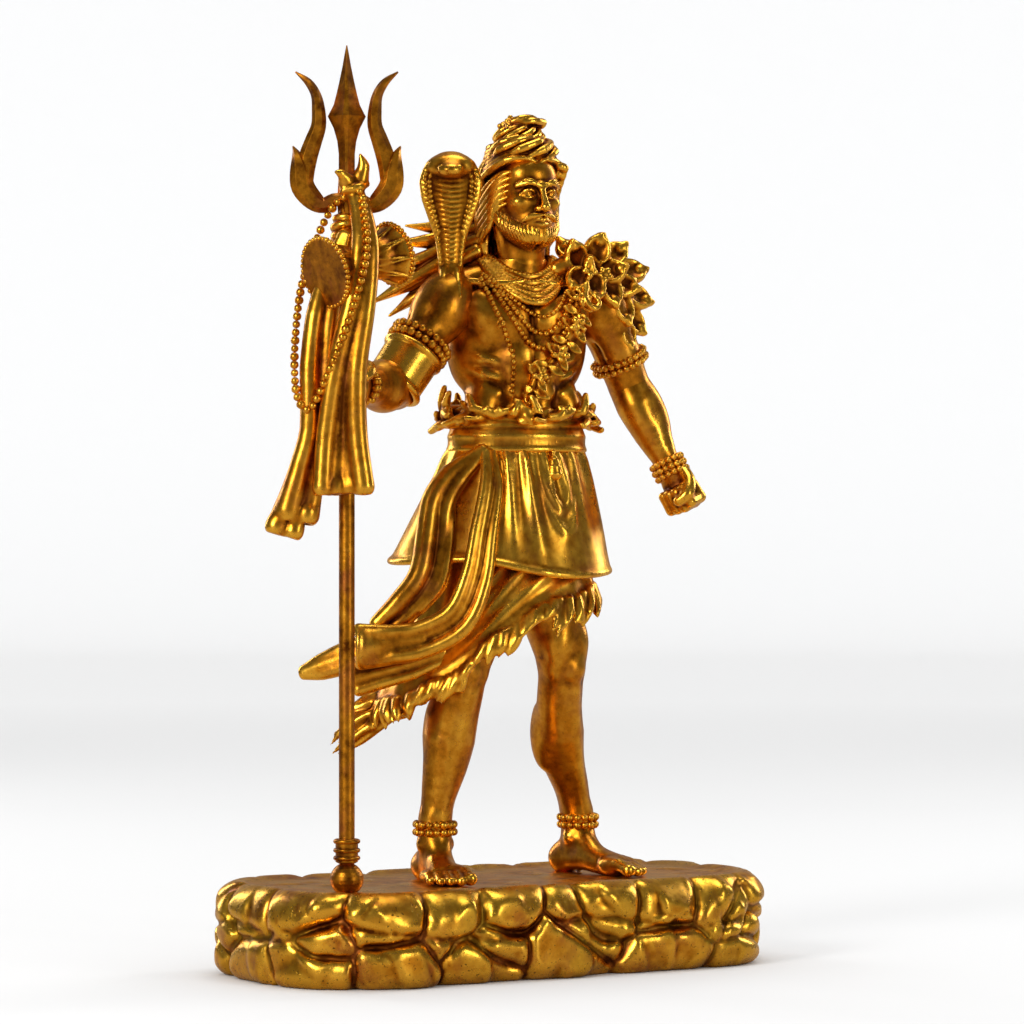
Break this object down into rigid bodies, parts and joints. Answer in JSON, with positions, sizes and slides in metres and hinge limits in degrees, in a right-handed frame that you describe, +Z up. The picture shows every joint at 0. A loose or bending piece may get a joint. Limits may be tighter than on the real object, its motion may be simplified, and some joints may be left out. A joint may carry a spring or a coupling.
{
  "type": "standing brass deity statue",
  "caption": "Standing robed figure cast in brass on a rock plinth, one fist round a lift-out trident with drum, scarf and beads, other arm hanging.",
  "frame": {"origin": "centre of the plinth's foot, on the surface it stands on", "axes": "+Z up, the plinth's length along X, the figure faces -Y and holds the trident on its own right, at -X"},
  "size_m": [0.2308, 0.116, 0.3665],
  "materials": {
    "plinth": "antique brass, rubbed highlights",
    "trident_socket": "antique brass, darker patina",
    "foot_studs": "zinc-plated thread",
    "stud_washers": "zinc-plated thread",
    "stud_nuts": "zinc-plated thread",
    "right_leg": "antique brass, rubbed highlights",
    "left_leg": "antique brass, rubbed highlights",
    "hips": "antique brass, rubbed highlights",
    "hip_studs": "zinc-plated thread",
    "right_anklet": "antique brass, darker patina",
    "left_anklet": "antique brass, darker patina",
    "pelt": "antique brass, rubbed highlights",
    "skirt": "antique brass, rubbed highlights",
    "belt": "antique brass, darker patina",
    "belt_bells": "antique brass, darker patina",
    "waist_garland": "antique brass, rubbed highlights",
    "sash_outer": "antique brass, rubbed highlights",
    "sash_inner": "antique brass, rubbed highlights",
    "sash_back": "antique brass, rubbed highlights",
    "torso": "antique brass, rubbed highlights",
    "waist_stud": "zinc-plated thread",
    "shoulder_studs": "zinc-plated thread",
    "neck_stud": "zinc-plated thread",
    "right_upper_arm": "antique brass, rubbed highlights",
    "right_arm_cuff": "antique brass, darker patina",
    "right_armlet": "antique brass, darker patina",
    "right_forearm": "antique brass, rubbed highlights",
    "right_bracelet": "antique brass, darker patina",
    "left_upper_arm": "antique brass, rubbed highlights",
    "left_armlet": "antique brass, darker patina",
    "left_forearm": "antique brass, rubbed highlights",
    "left_bracelet": "antique brass, darker patina",
    "elbow_studs": "zinc-plated thread",
    "serpent_coil": "antique brass, darker patina",
    "serpent_hood": "antique brass, rubbed highlights",
    "bead_necklaces": "antique brass, darker patina",
    "chest_garland": "antique brass, rubbed highlights",
    "shoulder_garland": "antique brass, rubbed highlights",
    "head": "antique brass, rubbed highlights",
    "hair": "antique brass, darker patina",
    "topknot": "antique brass, darker patina",
    "wind_locks": "antique brass, darker patina",
    "trident_pole": "antique brass, darker patina",
    "trident_prongs": "antique brass, rubbed highlights",
    "trident_spear": "antique brass, rubbed highlights",
    "trident_knot": "antique brass, rubbed highlights",
    "scarf_front": "antique brass, rubbed highlights",
    "scarf_side": "antique brass, rubbed highlights",
    "drum_shell": "antique brass, rubbed highlights",
    "drum_skins": "antique brass, darker patina",
    "drum_hoops": "antique brass, darker patina",
    "prayer_beads": "antique brass, darker patina"
  },
  "bodies": {
    "statue": {"plinth": "plinth", "trident_socket": "trident_socket", "foot_studs": "foot_studs", "stud_washers": "stud_washers", "stud_nuts": "stud_nuts", "right_leg": "right_leg", "left_leg": "left_leg", "hips": "hips", "hip_studs": "hip_studs", "right_anklet": "right_anklet", "left_anklet": "left_anklet", "pelt": "pelt", "skirt": "skirt", "belt": "belt", "belt_bells": "belt_bells", "waist_garland": "waist_garland", "sash_outer": "sash_outer", "sash_inner": "sash_inner", "sash_back": "sash_back", "torso": "torso", "waist_stud": "waist_stud", "shoulder_studs": "shoulder_studs", "neck_stud": "neck_stud", "right_upper_arm": "right_upper_arm", "right_arm_cuff": "right_arm_cuff", "right_armlet": "right_armlet", "right_forearm": "right_forearm", "right_bracelet": "right_bracelet", "left_upper_arm": "left_upper_arm", "left_armlet": "left_armlet", "left_forearm": "left_forearm", "left_bracelet": "left_bracelet", "elbow_studs": "elbow_studs", "serpent_coil": "serpent_coil", "serpent_hood": "serpent_hood", "bead_necklaces": "bead_necklaces", "chest_garland": "chest_garland", "shoulder_garland": "shoulder_garland", "head": "head", "hair": "hair", "topknot": "topknot", "wind_locks": "wind_locks"},
    "trident": {"trident_pole": "trident_pole", "trident_prongs": "trident_prongs", "trident_spear": "trident_spear", "trident_knot": "trident_knot", "scarf_front": "scarf_front", "scarf_side": "scarf_side", "drum_shell": "drum_shell", "drum_skins": "drum_skins", "drum_hoops": "drum_hoops", "prayer_beads": "prayer_beads"}
  },
  "joints": [
    {"name": "trident_lift", "type": "slide", "parent": "statue", "child": "trident", "axis": [0, 0, 1], "range_m": [0, 0.22]}
  ]
}
